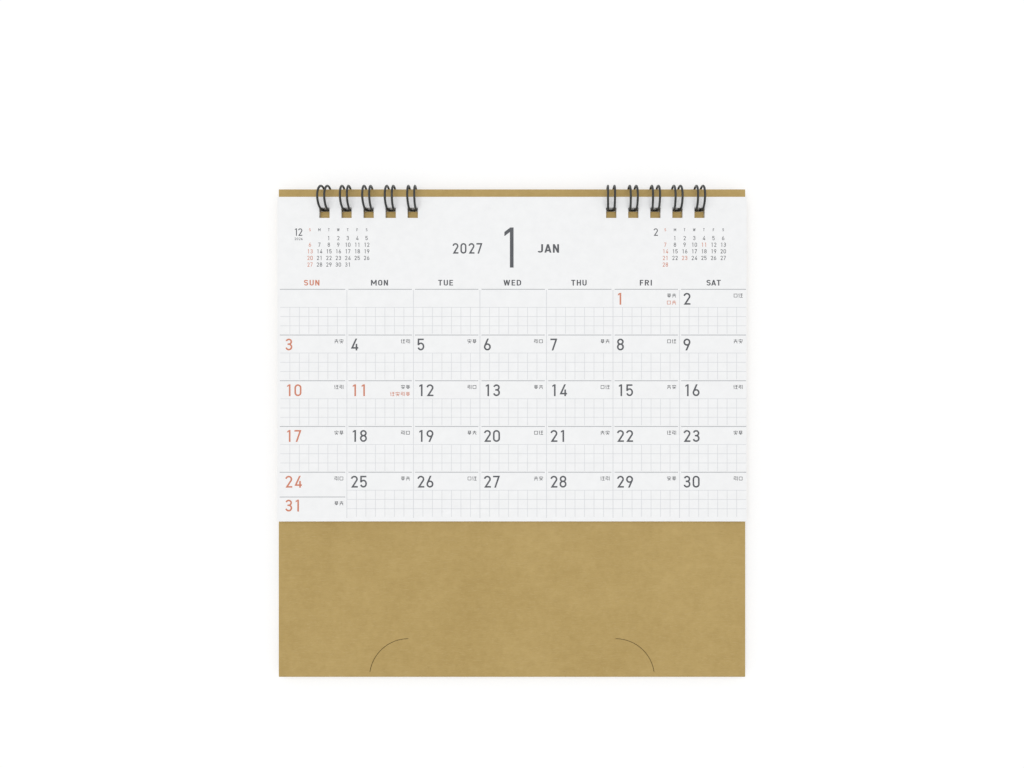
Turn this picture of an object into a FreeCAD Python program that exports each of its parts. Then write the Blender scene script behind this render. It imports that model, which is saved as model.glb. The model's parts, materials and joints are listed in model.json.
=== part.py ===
import FreeCAD, Part
import Sketcher
import os

# Desk calendar: a folded card stand and a block of month pages on two
# short combs of twin-loop wire. It lies folded flat, pages up.
# X runs along the wire, Y from the bottom folds to the wire, Z out of the pages.

driving_sizes = (
    ("board_width", 180.0, "folded card stand, along the wire"),
    ("board_height", 188.4, "stand, bottom fold to top edge"),
    ("board_thickness", 0.45, "kraft board"),
    ("base_half", 33.0, "flat of each base half, bottom fold to middle crease"),
    ("base_gap", 0.9, "between the two base halves at the bottom folds"),
    ("panel_gap", 0.2, "between front and back panel at the wire"),
    ("tab_width", 110.0, "lock tab, slit to slit at the fold"),
    ("tab_radius", 15.0, "arc of a lock slit, also the tab's height"),
    ("slit_width", 0.25, "die cut beside the lock tab"),
    ("slit_foot", 2.2, "bottom fold to the lower end of a slit"),
    ("pages_inset", 0.0, "side of the stand to the side of the pages"),
    ("pages_height", 124.5, "month pages, down from the wire"),
    ("sheet_count", 13, "a cover and twelve months"),
    ("sheet_thickness", 0.1, "printed paper"),
    ("hole_size", 4.0, "square punched hole"),
    ("page_hole_margin", 4.1, "page edge to its holes"),
    ("hang_gap", 0.15, "wire to the upper edge of a page hole"),
    ("turn_gap", 0.2, "turning pages to the front panel"),
    ("edge_gap", 0.1, "wire to the top edges of the stand"),
    ("board_hole_gap", 0.15, "wire to the lower edge of a stand hole"),
    ("wire_diameter", 1.0, "coated wire"),
    ("ring_radius", 4.45, "ring axis to the middle of the wire"),
    ("ring_pitch", 8.467, "three rings to the inch"),
    ("ring_count", 5, "rings in each comb"),
    ("comb_inset", 34.97, "side of the stand to the middle of a comb"),
    ("leg_spacing", 2.6, "between the two legs of a ring"),
    ("root_radius", 1.0, "bend from a leg to the spine of the comb"),
    ("seam_gap", 0.25, "tip of a ring to the spine, clear"),
    ("spine_gap", 0.4, "spine to the back panel, clear"),
)

doc = FreeCAD.newDocument("desk_calendar")
sheet = doc.addObject("Spreadsheet::Sheet", "Sizes")
for row, (name, value, note) in enumerate(driving_sizes, start=1):
    sheet.set(f"A{row}", name)
    sheet.set(f"B{row}", str(value))
    sheet.set(f"C{row}", note)
    sheet.setAlias(f"B{row}", name)
doc.recompute()

# Places that follow from the driving sizes, as expressions.
half_width = "(Sizes.board_width / 2)"
comb_centre = f"({half_width} - Sizes.comb_inset)"
ring_inner = "(Sizes.ring_radius - Sizes.wire_diameter / 2)"
ring_outer = "(Sizes.ring_radius + Sizes.wire_diameter / 2)"
pages_thickness = "(Sizes.sheet_count * Sizes.sheet_thickness)"
# Above and below the ring axis: the pages hang on the wire by their holes,
# and the corner of their block turns clear of the front panel.
page_rise = f"(Sizes.page_hole_margin + Sizes.hang_gap - {ring_inner})"
front_drop = f"(sqrt({page_rise}^2 + ({pages_thickness} / 2)^2) + Sizes.turn_gap)"
back_drop = f"({front_drop} + 2 * Sizes.board_thickness + Sizes.panel_gap)"
# Each panel's top edge lies just inside the rings.
front_back_drop = f"({front_drop} + Sizes.board_thickness)"
front_rise = f"(sqrt({ring_inner}^2 - {front_back_drop}^2) - Sizes.edge_gap)"
back_rise = f"(sqrt({ring_inner}^2 - {back_drop}^2) - Sizes.edge_gap)"

length = f"(Sizes.board_height - {front_rise} + {ring_outer})"
bottom_y = f"(-{length} / 2)"
ring_y = f"({length} / 2 - {ring_outer})"
ring_z = ring_outer
front_z = f"({ring_z} - {front_drop})"
fold_radius = f"(({front_z} - 4 * Sizes.board_thickness - Sizes.base_gap) / 4)"
front_top_y = f"({ring_y} + {front_rise})"
back_top_y = f"({ring_y} + {back_rise})"
page_top_y = f"({ring_y} + {page_rise})"
page_hole_top_y = f"({page_top_y} - Sizes.page_hole_margin)"
wire_reach = f"sqrt({ring_outer}^2 - {front_drop}^2)"
board_hole_top_y = f"({ring_y} - {wire_reach} - Sizes.board_hole_gap + Sizes.hole_size)"

# Angles around the ring axis, from the page side (-Y) towards the back (-Z).
spine_drop = f"({back_drop} + Sizes.spine_gap + Sizes.wire_diameter / 2)"
spine_reach = "sqrt(Sizes.ring_radius^2 + Sizes.root_radius^2)"
spine_angle = f"asin({spine_drop} / {spine_reach})"
root_angle = f"({spine_angle} + atan(Sizes.root_radius / Sizes.ring_radius))"
seam_angle = "(2 * asin((Sizes.wire_diameter + Sizes.seam_gap) / 2 / Sizes.ring_radius))"
tip_bend_angle = "atan(Sizes.leg_spacing / 2 / Sizes.ring_radius)"
tip_angle = f"({spine_angle} - {seam_angle} - {tip_bend_angle})"


def number(expression):
    """The value that an expression has now, for drawing a sketch in its right place."""
    value = sheet.evalExpression(expression)
    return float(getattr(value, "Value", value))


def new_body(label):
    body = doc.addObject("PartDesign::Body", label)
    body.Label = label
    return body


def new_sketch(body, name, plane):
    sketch = body.newObject("Sketcher::SketchObject", name)
    support = next(item for item in body.Origin.OriginFeatures if item.Role == plane)
    sketch.AttachmentSupport = (support, "")
    sketch.MapMode = "FlatFace"
    return sketch


def add_dimension(sketch, expression, kind, *picks):
    """Adds a driving dimension that follows an expression."""
    index = sketch.addConstraint(Sketcher.Constraint(kind, *picks, number(expression)))
    sketch.setExpression(f"Constraints[{index}]", expression)


def pin_point(sketch, edge, point, across, up):
    """Holds a point of an edge at a place measured from the sketch's origin."""
    add_dimension(sketch, across, "DistanceX", -1, 1, edge, point)
    add_dimension(sketch, up, "DistanceY", -1, 1, edge, point)


def add_line(sketch, start, end):
    points = [FreeCAD.Vector(number(across), number(up), 0) for across, up in (start, end)]
    return sketch.addGeometry(Part.LineSegment(*points), False)


def add_rectangle(sketch, left, bottom, right, top):
    corners = [(left, bottom), (right, bottom), (right, top), (left, top)]
    sides = [add_line(sketch, corners[i], corners[(i + 1) % 4]) for i in range(4)]
    for i, side in enumerate(sides):
        sketch.addConstraint(Sketcher.Constraint("Coincident", side, 2, sides[(i + 1) % 4], 1))
        sketch.addConstraint(Sketcher.Constraint(("Horizontal", "Vertical")[i % 2], side))
    pin_point(sketch, sides[0], 1, left, bottom)
    pin_point(sketch, sides[2], 1, right, top)


def add_wire_section(sketch, across, up):
    """Draws the section of the wire, an octagon that keeps the many loops light."""
    centre = FreeCAD.Vector(number(across), number(up), 0)
    corner_radius = f"(Sizes.wire_diameter / 2 / cos({180 / 8} deg))"
    reach = number(corner_radius)
    circle = sketch.addGeometry(Part.Circle(centre, FreeCAD.Vector(0, 0, 1), reach), True)
    add_dimension(sketch, corner_radius, "Radius", circle)
    pin_point(sketch, circle, 3, across, up)

    spoke = FreeCAD.Vector(reach, 0, 0)
    turns = [FreeCAD.Rotation(FreeCAD.Vector(0, 0, 1), 360 / 8 * (i + 0.5)) for i in range(8)]
    corners = [centre + turn.multVec(spoke) for turn in turns]
    sides = []
    for i, corner in enumerate(corners):
        sides.append(sketch.addGeometry(Part.LineSegment(corner, corners[(i + 1) % 8]), False))
        sketch.addConstraint(Sketcher.Constraint("PointOnObject", sides[i], 1, circle))
        if i > 0:
            sketch.addConstraint(Sketcher.Constraint("Coincident", sides[i - 1], 2, sides[i], 1))
            sketch.addConstraint(Sketcher.Constraint("Equal", sides[i - 1], sides[i]))
    sketch.addConstraint(Sketcher.Constraint("Coincident", sides[-1], 2, sides[0], 1))
    sketch.addConstraint(Sketcher.Constraint("Horizontal", sides[1]))


def repeat_along_wire(body, name, features):
    """Repeats features once for each ring of a comb."""
    pattern = body.newObject("PartDesign::LinearPattern", name)
    pattern.Originals = features
    axis = next(item for item in body.Origin.OriginFeatures if item.Role == "X_Axis")
    pattern.Direction = (axis, [""])
    pattern.setExpression("Length", "(Sizes.ring_count - 1) * Sizes.ring_pitch")
    pattern.setExpression("Occurrences", "Sizes.ring_count")
    body.Tip = pattern
    doc.recompute()


def first_ring_x(side):
    """The first ring of a comb, as an expression; side is -1 or 1."""
    return f"({side} * {comb_centre} - (Sizes.ring_count - 1) / 2 * Sizes.ring_pitch)"


def punch_holes(body, top_y, depth):
    """Punches the square holes of both combs through a body that lies above z = 0."""
    for side, side_name in ((-1, "left"), (1, "right")):
        middle = first_ring_x(side)
        sketch = new_sketch(body, f"{body.Label}_{side_name}_hole", "XY_Plane")
        left = f"({middle} - Sizes.hole_size / 2)"
        right = f"({middle} + Sizes.hole_size / 2)"
        add_rectangle(sketch, left, f"({top_y} - Sizes.hole_size)", right, top_y)
        pocket = body.newObject("PartDesign::Pocket", f"{body.Label}_{side_name}_punch")
        pocket.Profile = sketch
        pocket.Reversed = True
        pocket.setExpression("Length", depth)
        doc.recompute()
        repeat_along_wire(body, f"{body.Label}_{side_name}_holes", [pocket])


def draw_fold_path(sketch):
    """Draws the middle of the card: front panel, base folded inward, back panel."""
    bend = f"({fold_radius} + Sizes.board_thickness / 2)"
    bend_y = f"({bottom_y} + {bend} + Sizes.board_thickness / 2)"
    crease_y = f"({bottom_y} + Sizes.base_half)"
    front_middle_z = f"({front_z} - Sizes.board_thickness / 2)"
    back_middle_z = f"({ring_z} - {back_drop} + Sizes.board_thickness / 2)"
    base_front_z = f"({front_middle_z} - 2 * {bend})"
    rest_z = f"({bend} + Sizes.board_thickness / 2)"
    base_back_z = f"({rest_z} + {bend})"
    back_start_z = f"({rest_z} - {bend})"

    front = add_line(sketch, (front_top_y, front_middle_z), (bend_y, front_middle_z))
    base_front = add_line(sketch, (bend_y, base_front_z), (crease_y, base_front_z))
    base_back = add_line(sketch, (crease_y, base_back_z), (bend_y, base_back_z))
    back = add_line(sketch, (bend_y, back_start_z), (back_top_y, back_middle_z))
    panels = (front, base_front, base_back, back)

    folds = []
    for before, after, at_bottom in zip(panels, panels[1:], (True, False, True)):
        start = sketch.getPoint(before, 2)
        end = sketch.getPoint(after, 1)
        outward = FreeCAD.Vector(-1 if at_bottom else 1, 0, 0)
        crown = (start + end) / 2 + outward * (start.distanceToPoint(end) / 2)
        fold = sketch.addGeometry(Part.Arc(start, crown, end), False)
        near, far = (1, 2) if at_bottom else (2, 1)
        sketch.addConstraint(Sketcher.Constraint("Tangent", before, 2, fold, near))
        sketch.addConstraint(Sketcher.Constraint("Tangent", fold, far, after, 1))
        folds.append(fold)

    sketch.addConstraint(Sketcher.Constraint("Horizontal", front))
    sketch.addConstraint(Sketcher.Constraint("Horizontal", base_front))
    sketch.addConstraint(Sketcher.Constraint("Parallel", base_back, back))
    pin_point(sketch, front, 1, front_top_y, front_middle_z)
    pin_point(sketch, back, 2, back_top_y, back_middle_z)
    pin_point(sketch, folds[2], 3, bend_y, rest_z)
    add_dimension(sketch, bend_y, "DistanceX", -1, 1, folds[0], 3)
    add_dimension(sketch, crease_y, "DistanceX", -1, 1, base_front, 2)
    add_dimension(sketch, bend, "Radius", folds[0])
    add_dimension(sketch, bend, "Radius", folds[2])


def draw_lock_slit(sketch, side):
    """Draws the quarter-round die cut at one end of the lock tab; side is -1 or 1."""
    centre_x = f"({side} * (Sizes.tab_width / 2 - Sizes.tab_radius))"
    centre = FreeCAD.Vector(number(centre_x), number(bottom_y), 0)
    foot_y = f"({bottom_y} + Sizes.slit_foot)"
    inner = "(Sizes.tab_radius - Sizes.slit_width / 2)"
    outer = "(Sizes.tab_radius + Sizes.slit_width / 2)"
    arcs = []
    for radius in (inner, outer):
        reach = number(radius)
        foot_x = number(f"{side} * sqrt({radius}^2 - Sizes.slit_foot^2)")
        foot = centre + FreeCAD.Vector(foot_x, number("Sizes.slit_foot"), 0)
        middle = centre + FreeCAD.Vector(side, 1, 0).normalize() * reach
        head = centre + FreeCAD.Vector(0, reach, 0)
        arcs.append(sketch.addGeometry(Part.Arc(foot, middle, head), False))
        add_dimension(sketch, radius, "Radius", arcs[-1])
        pin_point(sketch, arcs[-1], 3, centre_x, bottom_y)
    foot_end, head_end = (1, 2) if side > 0 else (2, 1)
    for end, kind in ((foot_end, "Horizontal"), (head_end, "Vertical")):
        points = [sketch.getPoint(arc, end) for arc in arcs]
        closing = sketch.addGeometry(Part.LineSegment(*points), False)
        for point, arc in enumerate(arcs, start=1):
            sketch.addConstraint(Sketcher.Constraint("Coincident", closing, point, arc, end))
        sketch.addConstraint(Sketcher.Constraint(kind, closing))
    add_dimension(sketch, foot_y, "DistanceY", -1, 1, arcs[0], foot_end)
    sketch.addConstraint(Sketcher.Constraint("Vertical", arcs[0], head_end, arcs[0], 3))


def make_stand_board():
    """One sheet of kraft board, folded, punched and slit."""
    body = new_body("stand_board")
    path = new_sketch(body, "fold_path", "YZ_Plane")
    draw_fold_path(path)
    section = new_sketch(body, "card_section", "XZ_Plane")
    section.setExpression("AttachmentOffset.Base.z", f"-{front_top_y}")
    card_z = f"({front_z} - Sizes.board_thickness)"
    add_rectangle(section, f"-{half_width}", card_z, half_width, front_z)
    doc.recompute()
    card = body.newObject("PartDesign::AdditivePipe", "folded_card")
    card.Profile = section
    card.Spine = (path, [f"Edge{i}" for i in range(1, len(path.Shape.Edges) + 1)])
    doc.recompute()

    punch_holes(body, board_hole_top_y, front_z)

    for side, side_name in ((-1, "left"), (1, "right")):
        sketch = new_sketch(body, f"{side_name}_slit", "XY_Plane")
        sketch.setExpression("AttachmentOffset.Base.z", front_z)
        draw_lock_slit(sketch, side)
        slit = body.newObject("PartDesign::Pocket", f"{side_name}_lock_slit")
        slit.Profile = sketch
        slit.setExpression("Length", f"Sizes.board_thickness + {fold_radius}")
        doc.recompute()
    return body


def make_month_pages():
    """The block of month sheets, hanging on the wire by its punched holes."""
    body = new_body("month_pages")
    outline = new_sketch(body, "page_outline", "XY_Plane")
    outline.setExpression("AttachmentOffset.Base.z", f"{ring_z} - {pages_thickness} / 2")
    side_x = f"({half_width} - Sizes.pages_inset)"
    add_rectangle(outline, f"-{side_x}", f"({page_top_y} - Sizes.pages_height)", side_x, page_top_y)
    block = body.newObject("PartDesign::Pad", "page_block")
    block.Profile = outline
    block.setExpression("Length", pages_thickness)
    doc.recompute()
    punch_holes(body, page_hole_top_y, f"{ring_z} + {pages_thickness}")
    return body


def new_ring_sketch(body, name, side, angle):
    """A sketch across the ring: its origin on the ring axis, its vertical axis outward."""
    sketch = new_sketch(body, name, "XY_Plane")
    turn = FreeCAD.Rotation(FreeCAD.Vector(1, 0, 0), 180 + number(angle))
    sketch.AttachmentOffset = FreeCAD.Placement(FreeCAD.Vector(), turn)
    sketch.setExpression("AttachmentOffset.Base.x", first_ring_x(side))
    sketch.setExpression("AttachmentOffset.Base.y", ring_y)
    sketch.setExpression("AttachmentOffset.Base.z", ring_z)
    sketch.setExpression("AttachmentOffset.Rotation.Angle", f"180 deg + {angle}")
    return sketch


def add_root(body, name, side, hand):
    """Bends one leg into the spine and adds the spine up to half way to the next ring."""
    bend_x = f"({hand} * (Sizes.leg_spacing / 2 + Sizes.root_radius))"
    section = new_ring_sketch(body, f"{name}_root_section", side, root_angle)
    add_wire_section(section, f"({hand} * Sizes.leg_spacing / 2)", "Sizes.ring_radius")
    axis = add_line(section, (bend_x, "0"), (bend_x, "Sizes.ring_radius"))
    section.setConstruction(axis, True)
    section.addConstraint(Sketcher.Constraint("PointOnObject", axis, 1, -1))
    section.addConstraint(Sketcher.Constraint("Vertical", axis))
    add_dimension(section, bend_x, "DistanceX", -1, 1, axis, 1)
    add_dimension(section, "Sizes.ring_radius", "DistanceY", axis, 1, axis, 2)
    bend = body.newObject("PartDesign::Revolution", f"{name}_root_bend")
    bend.Profile = section
    bend.ReferenceAxis = (section, ["Axis0"])
    bend.Angle = 90
    bend.Reversed = hand > 0
    doc.recompute()

    end = new_sketch(body, f"{name}_spine_section", "YZ_Plane")
    turn = FreeCAD.Rotation(FreeCAD.Vector(0, 0, 1), 90 + number(root_angle))
    end.AttachmentOffset = FreeCAD.Placement(FreeCAD.Vector(), turn)
    end.setExpression("AttachmentOffset.Base.x", ring_y)
    end.setExpression("AttachmentOffset.Base.y", ring_z)
    end.setExpression("AttachmentOffset.Base.z", f"{first_ring_x(side)} + {bend_x}")
    end.setExpression("AttachmentOffset.Rotation.Angle", f"90 deg + {root_angle}")
    add_wire_section(end, "Sizes.root_radius", "Sizes.ring_radius")
    spine = body.newObject("PartDesign::Pad", f"{name}_spine")
    spine.Profile = end
    spine.Reversed = hand < 0
    spine.setExpression("Length", "(Sizes.ring_pitch - Sizes.leg_spacing) / 2 - Sizes.root_radius")
    doc.recompute()
    return [bend, spine]


def make_wire(side, side_name):
    """A comb of twin loops, bent from one wire and closed behind the stand."""
    label = f"wire_{side_name}"
    body = new_body(label)
    leg_x = "(Sizes.leg_spacing / 2)"
    features = []

    sections = new_ring_sketch(body, f"{label}_leg_sections", side, root_angle)
    add_wire_section(sections, f"-{leg_x}", "Sizes.ring_radius")
    add_wire_section(sections, leg_x, "Sizes.ring_radius")
    legs = body.newObject("PartDesign::Revolution", f"{label}_legs")
    legs.Profile = sections
    legs.ReferenceAxis = (sections, ["H_Axis"])
    legs.setExpression("Angle", f"360 deg + {tip_angle} - {root_angle}")
    doc.recompute()
    features.append(legs)

    section = new_ring_sketch(body, f"{label}_tip_section", side, tip_angle)
    add_wire_section(section, leg_x, "Sizes.ring_radius")
    tip = body.newObject("PartDesign::Revolution", f"{label}_tip")
    tip.Profile = section
    tip.ReferenceAxis = (section, ["V_Axis"])
    tip.Angle = 180
    tip.Reversed = True
    doc.recompute()
    features.append(tip)

    for hand, leg_name in ((-1, "left_leg"), (1, "right_leg")):
        features += add_root(body, f"{label}_{leg_name}", side, hand)
    repeat_along_wire(body, f"{label}_rings", features)
    return body


stand_board = make_stand_board()
month_pages = make_month_pages()
wire_left = make_wire(-1, "left")
wire_right = make_wire(1, "right")
doc.recompute()

for item in doc.Objects:
    if "Invalid" in item.State or "Error" in item.State:
        raise RuntimeError(f"{item.Name} did not build: {item.State}")

os.makedirs("parts", exist_ok=True)
for body in (stand_board, month_pages, wire_left, wire_right):
    if body.Shape.isNull() or not body.Shape.isValid():
        raise RuntimeError(f"{body.Label} has no valid shape")
    body.Shape.exportStep(f"parts/{body.Label}.step")
    print(body.Label, len(body.Shape.Solids), "solid,", round(body.Shape.Volume, 1), "mm3")
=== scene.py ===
import bpy
import bmesh
import json
import math
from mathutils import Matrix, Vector, noise
from mathutils.geometry import delaunay_2d_cdt


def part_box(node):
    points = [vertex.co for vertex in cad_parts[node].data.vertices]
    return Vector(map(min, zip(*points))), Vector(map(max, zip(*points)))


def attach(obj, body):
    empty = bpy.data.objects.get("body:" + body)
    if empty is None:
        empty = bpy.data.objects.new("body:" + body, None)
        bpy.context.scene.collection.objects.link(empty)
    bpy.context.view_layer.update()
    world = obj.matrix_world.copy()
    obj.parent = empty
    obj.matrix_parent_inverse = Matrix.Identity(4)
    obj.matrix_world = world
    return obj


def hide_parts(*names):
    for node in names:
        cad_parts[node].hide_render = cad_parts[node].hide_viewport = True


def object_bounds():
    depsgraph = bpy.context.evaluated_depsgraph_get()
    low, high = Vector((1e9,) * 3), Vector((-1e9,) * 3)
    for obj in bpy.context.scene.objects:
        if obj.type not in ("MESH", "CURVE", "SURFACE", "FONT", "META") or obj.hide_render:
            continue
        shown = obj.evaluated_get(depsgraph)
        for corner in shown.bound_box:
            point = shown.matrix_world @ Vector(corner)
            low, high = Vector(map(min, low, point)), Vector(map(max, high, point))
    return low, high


# Desk calendar: loose month sheets with their print, twin-loop wire and a folded kraft stand.
# Places come from the frame's boxes and its one joint, in metres. Lengths are given as
# millimetres times mm, and the print's as plain millimetres on the page.

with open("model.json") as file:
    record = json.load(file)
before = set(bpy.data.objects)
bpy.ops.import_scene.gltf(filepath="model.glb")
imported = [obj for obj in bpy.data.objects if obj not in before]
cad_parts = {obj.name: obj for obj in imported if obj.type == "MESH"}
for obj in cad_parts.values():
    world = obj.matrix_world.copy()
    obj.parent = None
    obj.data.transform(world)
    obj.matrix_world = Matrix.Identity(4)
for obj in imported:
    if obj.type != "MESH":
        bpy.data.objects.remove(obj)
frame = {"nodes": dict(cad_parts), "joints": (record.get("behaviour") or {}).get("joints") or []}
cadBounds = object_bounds()
mm = 0.001
ringAxis = Vector(frame["joints"][0]["pos_m"])
pagesLow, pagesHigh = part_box("month_pages")
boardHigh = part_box("stand_board")[1]
print("frame loaded:", ", ".join(sorted(frame["nodes"])))


def addNode(tree, kind, **settings):
    node = tree.nodes.new(kind)
    for name, value in settings.items():
        setattr(node, name, value)
    return node


def mathNode(tree, operation, first, second=0.0, clamp=False):
    node = addNode(tree, "ShaderNodeMath", operation=operation, use_clamp=clamp)
    for socket, value in zip(node.inputs, (first, second)):
        if isinstance(value, (int, float)):
            socket.default_value = value
        else:
            tree.links.new(value, socket)
    return node.outputs[0]


def mixColour(tree, factor, first, second):
    node = addNode(tree, "ShaderNodeMix", data_type="RGBA")
    for socket, value in zip((node.inputs[0], node.inputs[6], node.inputs[7]), (factor, first, second)):
        if isinstance(value, (int, float)):
            socket.default_value = value
        elif isinstance(value, tuple):
            socket.default_value = (*value, 1.0)
        else:
            tree.links.new(value, socket)
    return node.outputs[2]


def spread(tree, value, fromLow, fromHigh, toLow=0.0, toHigh=1.0):
    node = addNode(tree, "ShaderNodeMapRange", clamp=True)
    tree.links.new(value, node.inputs["Value"])
    limits = {"From Min": fromLow, "From Max": fromHigh, "To Min": toLow, "To Max": toHigh}
    for name, number in limits.items():
        node.inputs[name].default_value = number
    return node.outputs["Result"]


def noiseValue(tree, place, scale, detail=2.0, roughness=0.5, stretch=(1, 1, 1), turn=0.0):
    # place is in millimetres, so scale is the number of waves in one
    mapping = addNode(tree, "ShaderNodeMapping")
    mapping.inputs["Scale"].default_value = stretch
    mapping.inputs["Rotation"].default_value = (0, 0, math.radians(turn))
    tree.links.new(place, mapping.inputs["Vector"])
    texture = addNode(tree, "ShaderNodeTexNoise")
    texture.inputs["Scale"].default_value = scale
    texture.inputs["Detail"].default_value = detail
    texture.inputs["Roughness"].default_value = roughness
    tree.links.new(mapping.outputs["Vector"], texture.inputs["Vector"])
    return texture.outputs["Fac"]


def placeInMillimetres(tree):
    coords = addNode(tree, "ShaderNodeTexCoord")
    mapping = addNode(tree, "ShaderNodeMapping")
    mapping.inputs["Scale"].default_value = (1 / mm, 1 / mm, 1 / mm)
    tree.links.new(coords.outputs["Object"], mapping.inputs["Vector"])
    return mapping.outputs["Vector"]


def newMaterial(name):
    material = bpy.data.materials.new(name)
    material.use_nodes = True
    return material, material.node_tree, material.node_tree.nodes["Principled BSDF"]


def addSockets(tree, way, kind, *names):
    for name in names:
        tree.interface.new_socket(name=name, in_out=way, socket_type=kind)


def bumpFrom(tree, shader, height, depth):
    bump = addNode(tree, "ShaderNodeBump")
    bump.inputs["Distance"].default_value = depth
    tree.links.new(height, bump.inputs["Height"])
    tree.links.new(bump.outputs["Normal"], shader.inputs["Normal"])


def makePulpGroup():
    # formation clouds and loose fibres of paper and board; Place is in millimetres
    tree = bpy.data.node_groups.new("Pulp", "ShaderNodeTree")
    addSockets(tree, "INPUT", "NodeSocketVector", "Place")
    addSockets(tree, "INPUT", "NodeSocketFloat", "Cloud Scale", "Fibre Scale")
    addSockets(tree, "OUTPUT", "NodeSocketFloat", "Clouds", "Dark Fibres", "Pale Fibres", "Height")
    entry = addNode(tree, "NodeGroupInput")
    leave = addNode(tree, "NodeGroupOutput")

    clouds = addNode(tree, "ShaderNodeTexNoise")
    clouds.inputs["Detail"].default_value = 5.0
    clouds.inputs["Roughness"].default_value = 0.62
    tree.links.new(entry.outputs["Place"], clouds.inputs["Vector"])
    tree.links.new(entry.outputs["Cloud Scale"], clouds.inputs["Scale"])

    scaled = addNode(tree, "ShaderNodeVectorMath", operation="SCALE")
    tree.links.new(entry.outputs["Place"], scaled.inputs[0])
    tree.links.new(entry.outputs["Fibre Scale"], scaled.inputs["Scale"])
    # four layers of threads, the first two dark: turn in degrees, shift, and where they fade in
    layers = ((9, 0.0, 0.63, 0.74), (-47, 7.0, 0.64, 0.75), (76, 19.0, 0.60, 0.72), (141, 31.0, 0.61, 0.73))
    threads = []
    for turn, shift, fadeIn, full in layers:
        mapping = addNode(tree, "ShaderNodeMapping")
        mapping.inputs["Location"].default_value = (shift, shift * 0.7, 0)
        mapping.inputs["Rotation"].default_value = (0, 0, math.radians(turn))
        mapping.inputs["Scale"].default_value = (0.30, 3.6, 1.0)   # long and thin
        tree.links.new(scaled.outputs[0], mapping.inputs["Vector"])
        thread = addNode(tree, "ShaderNodeTexNoise")
        thread.inputs["Scale"].default_value = 1.5
        thread.inputs["Detail"].default_value = 1.0
        thread.inputs["Distortion"].default_value = 1.1
        tree.links.new(mapping.outputs["Vector"], thread.inputs["Vector"])
        threads.append(spread(tree, thread.outputs["Fac"], fadeIn, full))
    dark = mathNode(tree, "MAXIMUM", threads[0], threads[1])
    pale = mathNode(tree, "MAXIMUM", threads[2], threads[3])

    height = mathNode(tree, "MULTIPLY", dark, 0.5)
    height = mathNode(tree, "ADD", height, mathNode(tree, "MULTIPLY", pale, 0.8))
    height = mathNode(tree, "ADD", height, mathNode(tree, "MULTIPLY", clouds.outputs["Fac"], 0.6))
    results = {"Clouds": clouds.outputs["Fac"], "Dark Fibres": dark, "Pale Fibres": pale, "Height": height}
    for name, value in results.items():
        tree.links.new(value, leave.inputs[name])
    return tree


def makeInkGroup():
    # ink that lies a little unevenly on the sheet: its colour and its roughness
    tree = bpy.data.node_groups.new("Ink on paper", "ShaderNodeTree")
    addSockets(tree, "INPUT", "NodeSocketVector", "Place")
    addSockets(tree, "INPUT", "NodeSocketColor", "Ink", "Paper")
    addSockets(tree, "INPUT", "NodeSocketFloat", "Unevenness")
    addSockets(tree, "OUTPUT", "NodeSocketColor", "Colour")
    addSockets(tree, "OUTPUT", "NodeSocketFloat", "Roughness")
    entry = addNode(tree, "NodeGroupInput")
    leave = addNode(tree, "NodeGroupOutput")
    grain = noiseValue(tree, entry.outputs["Place"], 9.0, 3.0, 0.7)
    wash = noiseValue(tree, entry.outputs["Place"], 0.25, 2.0)
    thin = spread(tree, grain, 0.35, 0.75, 0.0, 0.7)
    thin = mathNode(tree, "ADD", thin, spread(tree, wash, 0.3, 0.7, 0.0, 0.5))
    thin = mathNode(tree, "MULTIPLY", thin, entry.outputs["Unevenness"], clamp=True)
    colour = mixColour(tree, thin, entry.outputs["Ink"], entry.outputs["Paper"])
    tree.links.new(colour, leave.inputs["Colour"])
    tree.links.new(spread(tree, grain, 0.3, 0.7, 0.48, 0.62), leave.inputs["Roughness"])
    return tree


pulpGroup = makePulpGroup()
inkGroup = makeInkGroup()


def useGroup(tree, group, **values):
    node = addNode(tree, "ShaderNodeGroup", node_tree=group)
    for name, value in values.items():
        socket = node.inputs[name.replace("_", " ")]
        if isinstance(value, bpy.types.NodeSocket):
            tree.links.new(value, socket)
        else:
            socket.default_value = value
    return node.outputs


kraftLook = {
    "pale": (0.496, 0.355, 0.136),
    "deep": (0.410, 0.283, 0.096),
    "fibre": (0.262, 0.168, 0.058),
    "straw": (0.640, 0.500, 0.270),
    "cutEdge": (0.560, 0.430, 0.230),
    "cloudScale": 0.42,
    "fibreScale": 1.0,
    # how far each pattern moves the tone from deep to pale
    "cloudRange": (0.26, 0.74),
    "drift": 0.26,
    "blotches": 0.20,
    "ribs": 0.045,
    "fineRibs": 0.030,
    # how strongly the fibres show
    "darkFibres": 0.22,
    "paleFibres": 0.20,
    "ribDepth": 0.005 * mm,
}


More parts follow.
